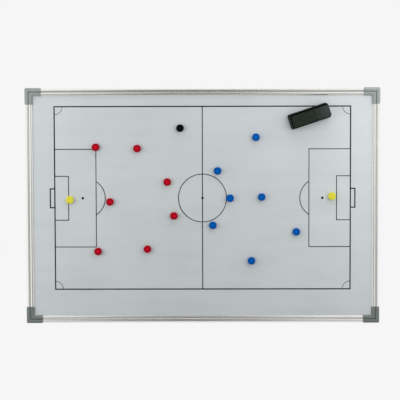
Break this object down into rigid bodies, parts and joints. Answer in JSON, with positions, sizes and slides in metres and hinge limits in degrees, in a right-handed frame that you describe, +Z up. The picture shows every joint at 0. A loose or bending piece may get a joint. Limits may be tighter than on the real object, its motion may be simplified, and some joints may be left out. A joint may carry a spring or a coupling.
{
  "type": "magnetic whiteboard",
  "caption": "Wall-hung magnetic tactics whiteboard with a printed football pitch, aluminium frame, moulded corners, round magnet counters and a magnetic eraser.",
  "frame": {"origin": "on the wall plane, behind the centre of the board's outline: the point where the wall holds the board", "axes": "+X along the board's width, to the right as seen from the front; +Z up; -Y out of the writing face, towards the viewer; +Y into the wall"},
  "size_m": [0.9, 0.0355, 0.6],
  "materials": {
    "face_lacquer": "cool white dry-wipe lacquer, semi-gloss",
    "core": "raw board edge",
    "galvanised": "galvanised, dull",
    "print": "black screen print",
    "rail": "satin anodised",
    "cap_plastic": "fine moulded grey plastic",
    "screw_steel": "zinc plated",
    "hanger_steel": "zinc plated sheet",
    "red_plastic": "moulded, semi-gloss",
    "blue_plastic": "moulded, semi-gloss",
    "yellow_plastic": "moulded, semi-gloss",
    "black_plastic": "moulded, semi-gloss",
    "ferrite": "sintered ferrite, dull dark grey",
    "grip_plastic": "fine-textured charcoal plastic",
    "felt": "pressed felt",
    "magnet_strip": "flexible magnet strip"
  },
  "bodies": {
    "board": {"face_sheet": "face_lacquer", "core_board": "core", "back_sheet": "galvanised", "pitch_lines": "print", "penalty_spot_left": "print", "penalty_spot_right": "print", "rail_top": "rail", "rail_bottom": "rail", "rail_left": "rail", "rail_right": "rail", "corner_cap_top_left": "cap_plastic", "corner_cap_top_right": "cap_plastic", "corner_cap_bottom_left": "cap_plastic", "corner_cap_bottom_right": "cap_plastic", "corner_screw_top_left": "screw_steel", "corner_screw_top_right": "screw_steel", "corner_screw_bottom_left": "screw_steel", "corner_screw_bottom_right": "screw_steel"},
    "left_hanger": {"hanger_left": "hanger_steel"},
    "right_hanger": {"hanger_right": "hanger_steel"},
    "red_1": {"counter_red_1": "red_plastic", "ferrite_red_1": "ferrite"},
    "red_2": {"counter_red_2": "red_plastic", "ferrite_red_2": "ferrite"},
    "red_3": {"counter_red_3": "red_plastic", "ferrite_red_3": "ferrite"},
    "red_4": {"counter_red_4": "red_plastic", "ferrite_red_4": "ferrite"},
    "red_5": {"counter_red_5": "red_plastic", "ferrite_red_5": "ferrite"},
    "red_6": {"counter_red_6": "red_plastic", "ferrite_red_6": "ferrite"},
    "red_7": {"counter_red_7": "red_plastic", "ferrite_red_7": "ferrite"},
    "blue_1": {"counter_blue_1": "blue_plastic", "ferrite_blue_1": "ferrite"},
    "blue_2": {"counter_blue_2": "blue_plastic", "ferrite_blue_2": "ferrite"},
    "blue_3": {"counter_blue_3": "blue_plastic", "ferrite_blue_3": "ferrite"},
    "blue_4": {"counter_blue_4": "blue_plastic", "ferrite_blue_4": "ferrite"},
    "blue_5": {"counter_blue_5": "blue_plastic", "ferrite_blue_5": "ferrite"},
    "blue_6": {"counter_blue_6": "blue_plastic", "ferrite_blue_6": "ferrite"},
    "blue_7": {"counter_blue_7": "blue_plastic", "ferrite_blue_7": "ferrite"},
    "yellow_1": {"counter_yellow_1": "yellow_plastic", "ferrite_yellow_1": "ferrite"},
    "yellow_2": {"counter_yellow_2": "yellow_plastic", "ferrite_yellow_2": "ferrite"},
    "black_1": {"counter_black_1": "black_plastic", "ferrite_black_1": "ferrite"},
    "eraser": {"eraser_grip": "grip_plastic", "eraser_felt": "felt", "eraser_strip": "magnet_strip"}
  },
  "joints": [
    {"name": "left_hanger_slide", "type": "slide", "parent": "board", "child": "left_hanger", "axis": [1, 0, 0], "range_m": [-0.14, 0.2]},
    {"name": "right_hanger_slide", "type": "slide", "parent": "board", "child": "right_hanger", "axis": [1, 0, 0], "range_m": [-0.2, 0.14]},
    {"name": "red_1_lift", "type": "slide", "parent": "board", "child": "red_1", "axis": [0, -1, 0], "range_m": [0, 0.03]},
    {"name": "red_2_lift", "type": "slide", "parent": "board", "child": "red_2", "axis": [0, -1, 0], "range_m": [0, 0.03]},
    {"name": "red_3_lift", "type": "slide", "parent": "board", "child": "red_3", "axis": [0, -1, 0], "range_m": [0, 0.03]},
    {"name": "red_4_lift", "type": "slide", "parent": "board", "child": "red_4", "axis": [0, -1, 0], "range_m": [0, 0.03]},
    {"name": "red_5_lift", "type": "slide", "parent": "board", "child": "red_5", "axis": [0, -1, 0], "range_m": [0, 0.03]},
    {"name": "red_6_lift", "type": "slide", "parent": "board", "child": "red_6", "axis": [0, -1, 0], "range_m": [0, 0.03]},
    {"name": "red_7_lift", "type": "slide", "parent": "board", "child": "red_7", "axis": [0, -1, 0], "range_m": [0, 0.03]},
    {"name": "blue_1_lift", "type": "slide", "parent": "board", "child": "blue_1", "axis": [0, -1, 0], "range_m": [0, 0.03]},
    {"name": "blue_2_lift", "type": "slide", "parent": "board", "child": "blue_2", "axis": [0, -1, 0], "range_m": [0, 0.03]},
    {"name": "blue_3_lift", "type": "slide", "parent": "board", "child": "blue_3", "axis": [0, -1, 0], "range_m": [0, 0.03]},
    {"name": "blue_4_lift", "type": "slide", "parent": "board", "child": "blue_4", "axis": [0, -1, 0], "range_m": [0, 0.03]},
    {"name": "blue_5_lift", "type": "slide", "parent": "board", "child": "blue_5", "axis": [0, -1, 0], "range_m": [0, 0.03]},
    {"name": "blue_6_lift", "type": "slide", "parent": "board", "child": "blue_6", "axis": [0, -1, 0], "range_m": [0, 0.03]},
    {"name": "blue_7_lift", "type": "slide", "parent": "board", "child": "blue_7", "axis": [0, -1, 0], "range_m": [0, 0.03]},
    {"name": "yellow_1_lift", "type": "slide", "parent": "board", "child": "yellow_1", "axis": [0, -1, 0], "range_m": [0, 0.03]},
    {"name": "yellow_2_lift", "type": "slide", "parent": "board", "child": "yellow_2", "axis": [0, -1, 0], "range_m": [0, 0.03]},
    {"name": "black_1_lift", "type": "slide", "parent": "board", "child": "black_1", "axis": [0, -1, 0], "range_m": [0, 0.03]},
    {"name": "eraser_lift", "type": "slide", "parent": "board", "child": "eraser", "axis": [0, -1, 0], "range_m": [0, 0.05]}
  ]
}
